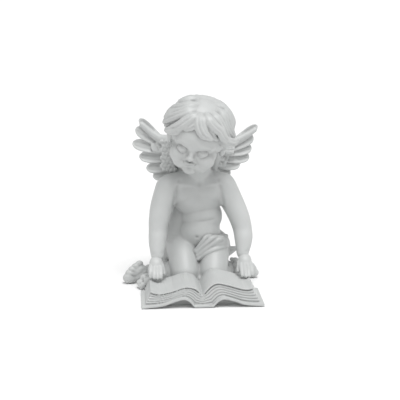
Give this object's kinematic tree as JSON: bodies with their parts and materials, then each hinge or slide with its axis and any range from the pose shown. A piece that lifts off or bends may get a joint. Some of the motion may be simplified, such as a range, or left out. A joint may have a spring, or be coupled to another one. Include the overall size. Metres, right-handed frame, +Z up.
{
  "type": "angel figurine",
  "caption": "Glazed white ceramic figurine of a kneeling winged child with bowed head, both hands resting on an open book.",
  "frame": {"origin": "centre of the bounding box at the level the figurine stands on", "axes": "+Z up, the figure faces -Y, +X to the viewer's right when looking at its face"},
  "size_m": [0.1073, 0.0977, 0.1496],
  "materials": {
    "white_glaze": "white glaze, soft gloss"
  },
  "bodies": {
    "root": {"angel_figurine": "white_glaze"}
  },
  "joints": []
}
